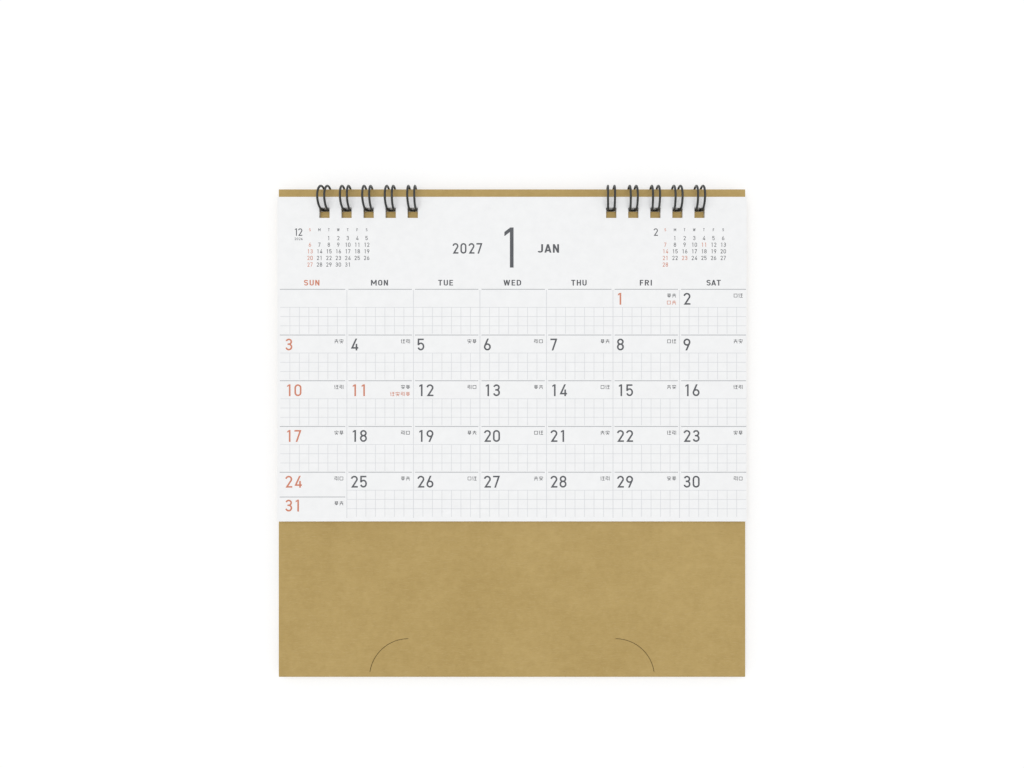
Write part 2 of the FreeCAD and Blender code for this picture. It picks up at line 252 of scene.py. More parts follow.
def makeKraft():
    look = kraftLook
    material, tree, shader = newMaterial("Kraft board")
    place = placeInMillimetres(tree)
    scales = {"Cloud_Scale": look["cloudScale"], "Fibre_Scale": look["fibreScale"]}
    pulp = useGroup(tree, pulpGroup, Place=place, **scales)
    drift = noiseValue(tree, place, 0.020, 3.0, 0.55)
    blotches = noiseValue(tree, place, 0.13, 3.0, 0.6)
    ribs = noiseValue(tree, place, 1.0, 3.0, 0.6, stretch=(0.030, 1.3, 0.3))
    fineRibs = noiseValue(tree, place, 1.0, 2.0, 0.5, stretch=(0.09, 3.4, 0.3))

    tone = spread(tree, pulp["Clouds"], 0.3, 0.7, *look["cloudRange"])
    for name, pattern in (("drift", drift), ("blotches", blotches), ("ribs", ribs), ("fineRibs", fineRibs)):
        part = spread(tree, pattern, 0.3, 0.7, -look[name], look[name])
        tone = mathNode(tree, "ADD", tone, part, clamp=name == "fineRibs")
    colour = mixColour(tree, tone, look["deep"], look["pale"])
    dark = mathNode(tree, "MULTIPLY", pulp["Dark Fibres"], look["darkFibres"])
    colour = mixColour(tree, dark, colour, look["fibre"])
    pale = mathNode(tree, "MULTIPLY", pulp["Pale Fibres"], look["paleFibres"])
    colour = mixColour(tree, pale, colour, look["straw"])

    # cut edges and the folds' outer bends are paler and rougher
    coords = addNode(tree, "ShaderNodeTexCoord")
    facing = addNode(tree, "ShaderNodeSeparateXYZ")
    tree.links.new(coords.outputs["Normal"], facing.inputs[0])
    flat = mathNode(tree, "ABSOLUTE", facing.outputs["Z"])
    edge = spread(tree, flat, 0.25, 0.92, 0.85, 0.0)
    colour = mixColour(tree, edge, colour, look["cutEdge"])
    tree.links.new(colour, shader.inputs["Base Color"])

    rough = spread(tree, pulp["Clouds"], 0.3, 0.7, 0.74, 0.84)
    rough = mathNode(tree, "ADD", rough, mathNode(tree, "MULTIPLY", edge, 0.1), clamp=True)
    tree.links.new(rough, shader.inputs["Roughness"])
    furrows = mathNode(tree, "MULTIPLY", mathNode(tree, "ADD", ribs, fineRibs), 0.55)
    height = mathNode(tree, "ADD", pulp["Height"], furrows)
    bumpFrom(tree, shader, height, look["ribDepth"])
    shader.inputs["Specular IOR Level"].default_value = 0.35
    return material


paperLook = {
    "white": (0.895, 0.900, 0.905),
    "shade": (0.860, 0.866, 0.872),
    "cloudScale": 0.30,
    "fibreScale": 1.6,
    "toothDepth": 0.003 * mm,
}


def makePaper():
    look = paperLook
    material, tree, shader = newMaterial("Month paper")
    place = placeInMillimetres(tree)
    scales = {"Cloud_Scale": look["cloudScale"], "Fibre_Scale": look["fibreScale"]}
    pulp = useGroup(tree, pulpGroup, Place=place, **scales)
    tone = spread(tree, pulp["Clouds"], 0.30, 0.70, 0.0, 0.8)
    tone = mathNode(tree, "ADD", tone, mathNode(tree, "MULTIPLY", pulp["Dark Fibres"], 0.25), clamp=True)
    colour = mixColour(tree, tone, look["white"], look["shade"])
    tree.links.new(colour, shader.inputs["Base Color"])
    tree.links.new(spread(tree, pulp["Clouds"], 0.3, 0.7, 0.56, 0.68), shader.inputs["Roughness"])
    bumpFrom(tree, shader, pulp["Height"], look["toothDepth"])
    shader.inputs["Specular IOR Level"].default_value = 0.4
    return material


inkLook = {
    "Dark ink": {"colour": (0.050, 0.054, 0.064), "unevenness": 0.06},
    "Red ink": {"colour": (0.590, 0.182, 0.094), "unevenness": 0.07},
    "Line ink": {"colour": (0.355, 0.368, 0.388), "unevenness": 0.12},
    "Grid ink": {"colour": (0.635, 0.648, 0.670), "unevenness": 0.16},
}


def makeInk(name):
    look = inkLook[name]
    material, tree, shader = newMaterial(name)
    place = placeInMillimetres(tree)
    colours = {"Ink": (*look["colour"], 1), "Paper": (*paperLook["white"], 1)}
    ink = useGroup(tree, inkGroup, Place=place, Unevenness=look["unevenness"], **colours)
    tree.links.new(ink["Colour"], shader.inputs["Base Color"])
    tree.links.new(ink["Roughness"], shader.inputs["Roughness"])
    shader.inputs["Specular IOR Level"].default_value = 0.4
    return material


wireLook = {
    "coat": (0.026, 0.028, 0.027),
    "scuffed": (0.060, 0.063, 0.061),
    "steel": (0.60, 0.60, 0.59),
    "shorn": (0.34, 0.33, 0.32),
    "ripple": 0.006 * mm,
}


def makeWireCoat():
    material, tree, shader = newMaterial("Black wire coat")
    place = placeInMillimetres(tree)
    grain = noiseValue(tree, place, 2.2, 4.0, 0.6)
    patches = noiseValue(tree, place, 0.45, 3.0, 0.6)
    scuff = spread(tree, patches, 0.56, 0.72, 0.0, 0.55)
    colour = mixColour(tree, scuff, wireLook["coat"], wireLook["scuffed"])
    tree.links.new(colour, shader.inputs["Base Color"])
    rough = spread(tree, grain, 0.3, 0.7, 0.30, 0.42)
    rough = mathNode(tree, "ADD", rough, mathNode(tree, "MULTIPLY", scuff, 0.22))
    tree.links.new(rough, shader.inputs["Roughness"])
    bumpFrom(tree, shader, grain, wireLook["ripple"])
    shader.inputs["Specular IOR Level"].default_value = 0.38
    return material


def makeCutSteel():
    material, tree, shader = newMaterial("Cut steel")
    place = placeInMillimetres(tree)
    shear = noiseValue(tree, place, 1.0, 3.0, 0.6, stretch=(1.0, 26.0, 3.0), turn=20)
    colour = mixColour(tree, shear, wireLook["steel"], wireLook["shorn"])
    tree.links.new(colour, shader.inputs["Base Color"])
    tree.links.new(spread(tree, shear, 0.3, 0.7, 0.28, 0.5), shader.inputs["Roughness"])
    shader.inputs["Metallic"].default_value = 1.0
    return material


kraft = makeKraft()
paper = makePaper()
inks = {name: makeInk(name) for name in inkLook}
wireCoat = makeWireCoat()
cutSteel = makeCutSteel()
print("materials ready:", len(bpy.data.materials))


def finishPiece(name, bm, body, materials):
    mesh = bpy.data.meshes.new(name)
    bm.to_mesh(mesh)
    bm.free()
    for material in materials:
        mesh.materials.append(material)
    piece = bpy.data.objects.new(name, mesh)
    bpy.context.scene.collection.objects.link(piece)
    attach(piece, body)
    return piece


def thicken(bm, thickness):
    # raises a copy of every face and closes the sides
    raised = bmesh.ops.extrude_face_region(bm, geom=bm.faces[:])
    top = [item for item in raised["geom"] if isinstance(item, bmesh.types.BMVert)]
    bmesh.ops.translate(bm, vec=(0, 0, thickness), verts=top)
    bmesh.ops.recalc_face_normals(bm, faces=bm.faces[:])


standBoard = frame["nodes"]["stand_board"]
standBoard.data.materials.clear()
standBoard.data.materials.append(kraft)
print("stand dressed")


sheets = {
    "count": 13,
    "thickness": 0.082 * mm,
    "drift": 0.06 * mm,          # a sheet slips sideways by less than this
    "sag": 0.14 * mm,            # the free end rests on the stand
    "topLift": 0.34 * mm,        # free corners of the top sheet
    "middleLift": 0.3,           # the middle of the free end lifts by this share of a corner's lift
    "wave": 0.05 * mm,
    "waveWidth": 24 * mm,
    "waveStart": 1.1,
    "grid": (12, 10),            # faces across and down one lower sheet
    "topGrid": (60, 42),
    "hole": 4.0 * mm,
    "holeMargin": 4.1 * mm,
    "combCentre": 55.03 * mm,
    "pitch": 8.467 * mm,
    "holesInComb": 5,
}
sheetStep = (pagesHigh.z - pagesLow.z - sheets["thickness"]) / (sheets["count"] - 1)
pageWidth = pagesHigh.x - pagesLow.x
pageHeight = pagesHigh.y - pagesLow.y


def ringPlaces(side):
    # the middles of one comb's rings along X; side is -1 on the left and 1 on the right
    steps = [ring - (sheets["holesInComb"] - 1) / 2 for ring in range(sheets["holesInComb"])]
    return [side * sheets["combCentre"] + step * sheets["pitch"] for step in steps]


def sheetUnderside(index, x, y):
    # height of a sheet's underside; 0 is the lowest sheet
    share = index / (sheets["count"] - 1)
    down = min(max((pagesHigh.y - y) / pageHeight, 0.0), 1.0)
    corner = (2 * x / pageWidth) ** 2
    height = pagesLow.z + index * sheetStep
    height -= sheets["sag"] * down ** 2
    lift = sheets["middleLift"] + (1 - sheets["middleLift"]) * corner
    height += sheets["topLift"] * share ** 2 * down ** 3 * lift
    height += sheets["wave"] * share * down * math.sin(x / sheets["waveWidth"] + sheets["waveStart"])
    return height


def cutSheet(columns, rows):
    # one flat sheet with its punched holes, at z = 0
    bm = bmesh.new()
    bmesh.ops.create_grid(bm, x_segments=columns, y_segments=rows, size=0.5)
    bmesh.ops.scale(bm, vec=(pageWidth, pageHeight, 1), verts=bm.verts)
    bmesh.ops.translate(bm, vec=(0, (pagesLow.y + pagesHigh.y) / 2, 0), verts=bm.verts)
    holeTop = pagesHigh.y - sheets["holeMargin"]
    holeBottom = holeTop - sheets["hole"]
    middles = ringPlaces(-1) + ringPlaces(1)
    cuts = [((0, y, 0), (0, 1, 0)) for y in (holeTop, holeBottom)]
    for x in middles:
        cuts += [((x + edge * sheets["hole"] / 2, 0, 0), (1, 0, 0)) for edge in (-1, 1)]
    for spot, across in cuts:
        geometry = bm.verts[:] + bm.edges[:] + bm.faces[:]
        bmesh.ops.bisect_plane(bm, geom=geometry, dist=1e-7, plane_co=spot, plane_no=across)
    punched = []
    for face in bm.faces:
        middle = face.calc_center_median()
        inRow = holeBottom < middle.y < holeTop
        if inRow and any(abs(middle.x - x) < sheets["hole"] / 2 for x in middles):
            punched.append(face)
    bmesh.ops.delete(bm, geom=punched, context="FACES")
    thicken(bm, sheets["thickness"])
    return bm


def layDown(verts, index, slipX, slipY):
    for vert in verts:
        vert.co.z += sheetUnderside(index, vert.co.x, vert.co.y)
        vert.co.x += slipX
        vert.co.y += slipY


def makeLowerSheets():
    template = bpy.data.meshes.new("sheet_template")
    cut = cutSheet(*sheets["grid"])
    cut.to_mesh(template)
    cut.free()
    bm = bmesh.new()
    seeds = (2.1, 8.4)           # for the slip along X and along Y
    for index in range(sheets["count"] - 1):
        before = len(bm.verts)
        bm.from_mesh(template)
        bm.verts.ensure_lookup_table()
        slip = [sheets["drift"] * noise.noise(Vector((index * 1.7, seed, 0.3))) for seed in seeds]
        layDown(bm.verts[before:], index, *slip)
    bpy.data.meshes.remove(template)
    return finishPiece("lower_sheets", bm, "pages", [paper])


def makeTopSheet():
    bm = cutSheet(*sheets["topGrid"])
    layDown(bm.verts, sheets["count"] - 1, 0, 0)
    return finishPiece("top_sheet", bm, "pages", [paper])


lowerSheets = makeLowerSheets()
topSheet = makeTopSheet()
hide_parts("month_pages")
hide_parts("month_pages")
print("sheets laid:", sheets["count"])


# for signs 1 high
lettering = {
    "plainWidth": 0.57,
    "widths": {"1": 0.266, "A": 0.66, "D": 0.60, "E": 0.50, "F": 0.48,
               "I": 0.17, "J": 0.55, "M": 0.78, "T": 0.56, "W": 0.90},
    # how much closer than the rest two signs stand; R and I stand further apart
    "closer": {"SA": 0.12, "AT": 0.12, "RI": -0.03, "11": 0.02, "21": 0.05, "31": 0.05},
    "waist": 0.53,               # where the halves of a 3, an 8 and an S meet
    "onePlace": 0.52,            # share of the spare width that stands left of a 1
    "loneOnePlace": 0.28,
    "flagSlope": 0.66,
    "mitreLimit": 0.35,          # keeps a sharp corner from reaching out too far
    "arcStep": 15,               # degrees
}


def arc(x, y, radiusX, radiusY, start, end):
    count = max(2, round(abs(end - start) / lettering["arcStep"]))
    turns = [math.radians(start + (end - start) * i / count) for i in range(count + 1)]
    return [(x + radiusX * math.cos(turn), y + radiusY * math.sin(turn)) for turn in turns]


def glyphStrokes(char, w):
    # middle lines of a glyph's strokes; it is 1 high and w is the width of a stroke
    half = w / 2
    width = lettering["widths"].get(char, lettering["plainWidth"])
    left, right, low, high = half, width - half, half, 1 - half
    middle = width / 2
    bow = middle - half
    waist = lettering["waist"]
    upper, lower = (high - waist) / 2, (waist - low) / 2
    ring = arc(middle, high - bow, bow, bow, 0, 180) + arc(middle, low + bow, bow, bow, 180, 360)
    ring.append(ring[0])
    bowlHeight = bow * 1.08
    bowl = arc(middle, low + bowlHeight, bow, bowlHeight, 0, 360)
    lean = math.radians(152)     # where the straight of a 6 leaves its bowl
    touch = (middle + bow * math.cos(lean), low + bowlHeight + bow * math.sin(lean))
    six = [bowl, [touch, (touch[0] + (1 - touch[1]) * 0.42, 1.0)]]
    slim = bow * 0.92            # the upper half is a little narrower
    loops = [arc(middle, waist + upper, slim, upper, 0, 360), arc(middle, low + lower, bow, lower, 0, 360)]
    for loop in (bowl, *loops):
        loop[-1] = loop[0]
    bowD = min(0.30, right - middle + 0.06)
    shapes = {
        "0": [ring],
        "2": [arc(middle, high - bow, bow, bow, 172, -30) + [(w * 1.05, low), (width, low)]],
        "3": [arc(middle, waist + upper, slim, upper, 165, -90) + [(middle - 0.10, waist)],
              [(middle - 0.10, waist)] + arc(middle, low + lower, bow, lower, 90, -165)],
        "4": [[(0.45, 1.0), (w * 0.8, 0.215), (width + 0.04, 0.215)], [(0.46, 0.56), (0.46, 0.0)]],
        "5": [[(width - 0.05, high), (left + 0.03, high), (left + 0.015, 0.44)],
              arc(middle, low + 0.27, bow, 0.27, 148, -160)],
        "6": six,
        "7": [[(0.0, high), (width - half * 1.4, high), (0.17, 0.0)]],
        "8": loops,
        "9": [[(width - x, 1 - y) for x, y in stroke] for stroke in six],
        "A": [[(half * 1.06, 0), (middle, 1)], [(middle, 1), (width - half * 1.06, 0)],
              [(0.16, 0.26), (width - 0.16, 0.26)]],
        "D": [[(left, low), (left, high), (middle, high)]
              + arc(middle, high - bowD, right - middle, bowD, 90, 0)
              + arc(middle, low + bowD, right - middle, bowD, 0, -90) + [(left, low)]],
        "E": [[(width, high), (left, high), (left, low), (width, low)], [(left, 0.5), (width - 0.05, 0.5)]],
        "F": [[(width, high), (left, high), (left, 0)], [(left, 0.48), (width - 0.05, 0.48)]],
        "H": [[(left, 0), (left, 1)], [(right, 0), (right, 1)], [(left, 0.5), (right, 0.5)]],
        "I": [[(middle, 0), (middle, 1)]],
        "J": [[(right, 1), (right, low + bow)] + arc(middle, low + bow, bow, bow, 0, -150)],
        "M": [[(left, 0), (left, 1)], [(right, 0), (right, 1)],
              [(left, 1), (middle, 0.28)], [(middle, 0.28), (right, 1)]],
        "N": [[(left, 0), (left, 1)], [(right, 0), (right, 1)], [(left, 1), (right, 0)]],
        "O": [ring],
        "R": [[(left, 0), (left, 1)],
              [(left, high), (middle, high)]
              + arc(middle, high - 0.21, right - middle, 0.21, 90, -90) + [(left, high - 0.42)],
              [(middle, high - 0.42), (right + 0.01, 0)]],
        "S": [arc(middle, waist + upper, bow, upper, 15, 270)
              + arc(middle, low + lower, bow, lower, 90, -165)[1:]],
        "T": [[(0, high), (width, high)], [(middle, 1), (middle, 0)]],
        "U": [[(left, 1), (left, low + bow)] + arc(middle, low + bow, bow, bow, 180, 360) + [(right, 1)]],
        "W": [[(0.08, 1), (0.26, 0)], [(0.26, 0), (middle, 1)],
              [(middle, 1), (width - 0.26, 0)], [(width - 0.26, 0), (width - 0.08, 1)]],
    }
    return shapes[char], width


def flagOne(w):
    # the figure 1 is cut as one shape: a stem with a slanted flag
    width, slope = lettering["widths"]["1"], lettering["flagSlope"]
    stem = width - w
    flagLow = 1 - w - slope * (width - 0.9 * w)
    flag = [(stem + 0.1 * w, 1), (0, flagLow + w), (0, flagLow), (stem, flagLow + slope * stem)]
    return [(width, 0), (width, 1), *flag, (stem, 0)]


def strokeQuads(points, w):
    # a stroke as a row of four-cornered pieces, mitred at its corners
    half = w / 2
    closed = points[0] == points[-1]
    spots = [Vector(point) for i, point in enumerate(points)
             if i == 0 or math.dist(point, points[i - 1]) > 1e-4]
    sides = []
    for i, spot in enumerate(spots):
        before = spots[i - 1] if i > 0 else (spots[-2] if closed else None)
        after = spots[i + 1] if i < len(spots) - 1 else (spots[1] if closed else None)
        steps = [(a, b) for a, b in ((before, spot), (spot, after)) if a is not None and b is not None]
        ways = [(b - a).normalized() for a, b in steps]
        normals = [Vector((-way.y, way.x)) for way in ways]
        joined = sum(normals, Vector((0, 0))).normalized()
        offset = joined * (half / max(joined.dot(normals[0]), lettering["mitreLimit"]))
        # an end on the baseline or at the top is cut level
        if len(ways) == 1 and spot.y in (0, 1) and abs(ways[0].y) > 0.2:
            offset = Vector((math.copysign(half / abs(ways[0].y), joined.x), 0))
        sides.append((spot + offset, spot - offset))
    return [(a[0], a[1], b[1], b[0]) for a, b in zip(sides, sides[1:])]


def fillShape(polygons):
    # joins overlapping polygons into one flat triangulated shape
    spots, faces = [], []
    for polygon in polygons:
        area = sum(a[0] * b[1] - b[0] * a[1] for a, b in zip(polygon, [*polygon[1:], polygon[0]]))
        ordered = list(polygon) if area > 0 else list(reversed(polygon))
        faces.append(list(range(len(spots), len(spots) + len(ordered))))
        spots += [Vector(corner) for corner in ordered]
    joined = delaunay_2d_cdt(spots, [], faces, 1, 1e-5)
    verts, triangles, owners = joined[0], joined[2], joined[5]
    return verts, [triangle for triangle, owner in zip(triangles, owners) if owner]


glyphStore = {}


def glyphShape(char, w):
    if (char, w) not in glyphStore:
        if char == "1":
            polygons, width = [flagOne(w)], lettering["widths"]["1"]
        else:
            strokes, width = glyphStrokes(char, w)
            polygons = [quad for stroke in strokes for quad in strokeQuads(stroke, w)]
        glyphStore[char, w] = (*fillShape(polygons), width)
    return glyphStore[char, w]


def addShape(bm, shape, x, y, scaleX=1.0, scaleY=1.0):
    # x runs right and y down from the page's top left corner, in millimetres
    verts, triangles = shape
    made = []
    for spot in verts:
        across = pagesLow.x + (x + spot.x * scaleX) * mm
        along = pagesHigh.y - (y - spot.y * scaleY) * mm
        made.append(bm.verts.new((across, along, 0)))
    for triangle in triangles:
        bm.faces.new([made[i] for i in triangle])


def addText(bm, text, x, baseline, height, weight, spacing, anchor="left", stretch=1.0, tabular=True):
    # tabular figures all advance alike; a lone 1 stands left in its place
    onePlace = lettering["onePlace" if len(text) > 1 else "loneOnePlace"]
    advances = []
    for char in text:
        alike = tabular and char.isdigit()
        advances.append(lettering["plainWidth"] if alike else glyphShape(char, weight)[2])
    gaps = [spacing - lettering["closer"].get(text[i:i + 2], 0) for i in range(len(text))]
    total = (sum(advances) + sum(gaps[:-1])) * height * stretch
    cursor = x - {"left": 0.0, "centre": total / 2, "right": total}[anchor]
    for char, advance, gap in zip(text, advances, gaps):
        verts, triangles, width = glyphShape(char, weight)
        shift = (advance - width) * (onePlace if char == "1" else 0.5)
        left = cursor + shift * height * stretch
        addShape(bm, (verts, triangles), left, baseline, height * stretch, height)
        cursor += (advance + gap) * height * stretch


def bar(x0, y0, x1, y1):
    # a straight line in short pieces, so that it can follow the sheet
    lengthX, lengthY = x1 - x0, y1 - y0
    count = max(1, math.ceil(max(lengthX, lengthY) / pageLayout["linePiece"]))
    quads = []
    for i in range(count):
        a, b = i / count, (i + 1) / count
        if lengthX > lengthY:
            left, right, top, bottom = x0 + lengthX * a, x0 + lengthX * b, y0, y1
        else:
            left, right, top, bottom = x0, x1, y0 + lengthY * a, y0 + lengthY * b
        quads.append([(left, top), (right, top), (right, bottom), (left, bottom)])
    return quads


def addBars(bm, bars):
    # bars are given with y down, and a shape's own y runs up
    verts, triangles = fillShape([[(x, -y) for x, y in quad] for quad in bars])
    addShape(bm, (verts, triangles), 0, 0)


# plain millimetres on the page; only the ink's own height and depth are in metres
pageLayout = {
    "gridLeft": 1.14,
    "gridTop": 35.47,
    "rows": 5,
    "cellWidth": 25.52,
    "cellHeight": 17.54,
    "lineWidth": 0.27,
    "lineGap": 0.60,             # a row line stops this short of a column line
    "lineStart": 0.20,           # the first line starts this far left of the grid
    "linePiece": 4.0,
    "columnWidth": 0.25,
    "columnStart": 0.20,         # column lines start this far under the first row line
    "noteTop": 6.90,             # the squared note field starts this far down a cell
    "noteFoot": 0.45,            # and its upright lines end this far above the next cell
    "noteRows": 3,
    "noteColumns": 7,
    "noteWidth": 0.18,
    "splitDown": 9.50,           # where the shared cell is split
    "dateLeft": 1.50,
    "dateTop": 1.36,
    "sundayShift": 0.40,
    "sharedRise": 0.35,          # the lower date of the shared cell stands this much higher
    "markRight": 1.30,
    "markWeight": 0.125,
    "smallTop": 16.62,           # baseline of a small month's first week
    "smallRow": 2.54,
    "inkHeight": 0.012 * mm,
    "inkSunk": 0.004 * mm,
}
# weight and spacing are shares of the height
textStyles = {
    "year": {"baseline": 21.80, "height": 4.06, "weight": 0.140, "spacing": 0.186},
    "number": {"baseline": 27.15, "height": 15.4, "weight": 0.106, "spacing": 0.0, "stretch": 0.86,
               "tabular": False},
    "name": {"baseline": 21.42, "height": 3.26, "weight": 0.172, "spacing": 0.120, "stretch": 1.28},
    "dayName": {"baseline": 34.02, "height": 2.16, "weight": 0.165, "spacing": 0.190, "stretch": 1.32,
                "anchor": "centre"},
    "date": {"height": 4.55, "weight": 0.132, "spacing": 0.170, "stretch": 1.04},
    "smallNumber": {"baseline": 14.95, "height": 2.85, "weight": 0.125, "spacing": 0.01, "anchor": "right"},
    "smallYear": {"baseline": 16.60, "height": 0.95, "weight": 0.15, "spacing": 0.22, "stretch": 1.12,
                  "anchor": "right"},
    "smallDayName": {"baseline": 13.20, "height": 1.12, "weight": 0.15, "spacing": 0.0, "anchor": "centre"},
    "smallDate": {"height": 1.60, "weight": 0.130, "spacing": 0.185, "anchor": "centre"},
}
markRows = {
    "Dark ink": {"down": 1.59, "size": 1.58, "gap": 0.34},
    "Red ink": {"down": 4.25, "size": 1.62, "gap": 0.36},
}
month = {
    "name": "JAN", "number": "1", "year": "2027",
    "yearLeft": 67.15, "numberLeft": 87.08, "nameLeft": 99.62,
    "firstColumn": 5, "days": 31, "red": {1, 11},
    "redMarks": {1: 2, 11: 4},   # how many red marks a day has
}
monthBefore = {
    "number": "12", "numberRight": 9.57, "year": "2026", "yearRight": 9.70,
    "firstColumn": 2, "days": 31, "red": set(), "columns": 12.50, "columnStep": 3.62,
}
monthAfter = {
    "number": "2", "numberRight": 145.95, "year": "",
    "firstColumn": 1, "days": 28, "red": {11, 23}, "columns": 148.80, "columnStep": 3.70,
}
# each name's shift from the middle of its column
dayNames = {"SUN": -0.74, "MON": -0.26, "TUE": -0.41, "WED": -0.34, "THU": -0.32, "FRI": -0.15, "SAT": 0.32}

prints = {name: bmesh.new() for name in inkLook}


def inkFor(day, column, redDays):
    return prints["Red ink"] if column == 0 or day in redDays else prints["Dark ink"]


def cellOf(day):
    # column and row of a day; what doesn't fit in the rows shares the last one
    place = day - 1 + month["firstColumn"]
    column, row = place % 7, place // 7
    lastRow = pageLayout["rows"] - 1
    return column, min(row, lastRow), row > lastRow


markStrokes = (
    [[(0.12, 0.08), (0.12, 0.86), (0.88, 0.86), (0.88, 0.08)], [(0.12, 0.10), (0.88, 0.10)]],
    [[(0.08, 0.80), (0.92, 0.80)], [(0.50, 1.0), (0.50, 0.45)], [(0.05, 0.48), (0.95, 0.48)],
     [(0.34, 0.48), (0.10, 0.0)], [(0.66, 0.48), (0.90, 0.0)]],
    [[(0.14, 1.0), (0.06, 0.55)], [(0.14, 0.72), (0.14, 0.0)], [(0.42, 0.90), (0.98, 0.90)],
     [(0.42, 0.62), (0.98, 0.62)], [(0.70, 0.90), (0.70, 0.0)], [(0.36, 0.06), (1.0, 0.06)]],
    [[(0.50, 1.0), (0.50, 0.84)], [(0.08, 0.62), (0.08, 0.84), (0.92, 0.84), (0.92, 0.62)],
     [(0.04, 0.42), (0.96, 0.42)], [(0.40, 0.64), (0.78, 0.0)], [(0.66, 0.42), (0.20, 0.0)]],
    [[(0.06, 0.92), (0.60, 0.92), (0.60, 0.62), (0.10, 0.62), (0.10, 0.32), (0.64, 0.32), (0.52, 0.02)],
     [(0.92, 1.0), (0.92, 0.0)]],
    [[(0.10, 0.90), (0.90, 0.90)], [(0.10, 0.64), (0.90, 0.64)], [(0.28, 0.90), (0.28, 0.38)],
     [(0.72, 0.90), (0.72, 0.38)], [(0.04, 0.38), (0.96, 0.38)], [(0.50, 0.38), (0.50, 0.0)],
     [(0.20, 0.18), (0.80, 0.18)]],
)


def addSmallMark(bm, x, y, size, kind):
    # a plain little cluster of strokes in place of the small notes; it stands for no letter
    strokes = markStrokes[kind % len(markStrokes)]
    quads = [quad for stroke in strokes for quad in strokeQuads(stroke, pageLayout["markWeight"])]
    addShape(bm, fillShape(quads), x, y + size, size, size)


def addMarks(name, right, top, kinds):
    # a row of marks that ends at right
    row = markRows[name]
    for i, kind in enumerate(kinds):
        x = right - (i + 1) * row["size"] - i * row["gap"]
        addSmallMark(prints[name], x, top + row["down"], row["size"], kind)


def printTitle():
    for part in ("year", "number", "name"):
        addText(prints["Dark ink"], month[part], month[part + "Left"], **textStyles[part])


def printSmallMonth(small):
    addText(prints["Dark ink"], small["number"], small["numberRight"], **textStyles["smallNumber"])
    if small["year"]:
        addText(prints["Dark ink"], small["year"], small["yearRight"], **textStyles["smallYear"])
    for column, name in enumerate(dayNames):
        x = small["columns"] + column * small["columnStep"]
        addText(inkFor(0, column, ()), name[0], x, **textStyles["smallDayName"])
    for day in range(1, small["days"] + 1):
        place = day - 1 + small["firstColumn"]
        column, row = place % 7, place // 7
        x = small["columns"] + column * small["columnStep"]
        baseline = pageLayout["smallTop"] + pageLayout["smallRow"] * row
        addText(inkFor(day, column, small["red"]), str(day), x, baseline, **textStyles["smallDate"])


def printDayNames():
    for column, (name, shift) in enumerate(dayNames.items()):
        x = pageLayout["gridLeft"] + (column + 0.5) * pageLayout["cellWidth"] + shift
        addText(inkFor(0, column, ()), name, x, **textStyles["dayName"])


def printDates():
    layout, style = pageLayout, textStyles["date"]
    for day in range(1, month["days"] + 1):
        column, row, shared = cellOf(day)
        left = layout["gridLeft"] + column * layout["cellWidth"]
        top = layout["gridTop"] + row * layout["cellHeight"] + (layout["splitDown"] if shared else 0)
        dateTop = layout["dateTop"] - (layout["sharedRise"] if shared else 0)
        dateLeft = layout["dateLeft"] + (0 if column else layout["sundayShift"])
        ink = inkFor(day, column, month["red"])
        addText(ink, str(day), left + dateLeft, top + dateTop + style["height"], **style)

        right = left + layout["cellWidth"] - layout["markRight"]
        addMarks("Dark ink", right, top, (day, day + 4))
        addMarks("Red ink", right, top, [day + 5 * i for i in range(month["redMarks"].get(day, 0))])


def printLines():
    layout = pageLayout
    width, thick, gap = layout["cellWidth"], layout["lineWidth"], layout["lineGap"]
    rows = [(layout["gridTop"] + row * layout["cellHeight"], range(7)) for row in range(layout["rows"])]
    rows.append((rows[-1][0] + layout["splitDown"], range(1)))
    for y, columns in rows:
        for column in columns:
            x0 = layout["gridLeft"] + column * width + (gap if column else -layout["lineStart"])
            x1 = layout["gridLeft"] + (column + 1) * width - (gap if column < 6 else 0)
            addBars(prints["Line ink"], bar(x0, y - thick / 2, x1, y + thick / 2))


def printNoteFields():
    layout = pageLayout
    width, height = layout["cellWidth"], layout["cellHeight"]
    thin, noteTop = layout["noteWidth"], layout["noteTop"]
    quads = []
    for column in range(1, 7):
        x = layout["gridLeft"] + column * width
        half = layout["columnWidth"] / 2
        bottom = layout["gridTop"] + layout["rows"] * height
        quads += bar(x - half, layout["gridTop"] + layout["columnStart"], x + half, bottom)
    step = (height - noteTop) / layout["noteRows"]
    square = width / layout["noteColumns"]
    for row in range(layout["rows"]):
        top = layout["gridTop"] + row * height
        firstColumn = 1 if row == layout["rows"] - 1 else 0   # the shared cell has no squares
        x0 = layout["gridLeft"] + firstColumn * width
        x1 = layout["gridLeft"] + 7 * width
        for line in range(layout["noteRows"]):
            y = top + noteTop + line * step
            quads += bar(x0, y - thin / 2, x1, y + thin / 2)
        for column in range(firstColumn, 7):
            for line in range(1, layout["noteColumns"]):
                x = layout["gridLeft"] + column * width + line * square
                quads += bar(x - thin / 2, top + noteTop, x + thin / 2, top + height - layout["noteFoot"])
    addBars(prints["Grid ink"], quads)


def finishPrints():
    for name, bm in prints.items():
        thicken(bm, pageLayout["inkHeight"] + pageLayout["inkSunk"])
        for vert in bm.verts:
            surface = sheetUnderside(sheets["count"] - 1, vert.co.x, vert.co.y) + sheets["thickness"]
            vert.co.z += surface - pageLayout["inkSunk"]
        piece = finishPiece(name.lower().replace(" ", "_"), bm, "pages", [inks[name]])
        print("printed", piece.name, len(piece.data.polygons))


printTitle()
printSmallMonth(monthBefore)
printSmallMonth(monthAfter)
printDayNames()
printDates()
printLines()
printNoteFields()
finishPrints()


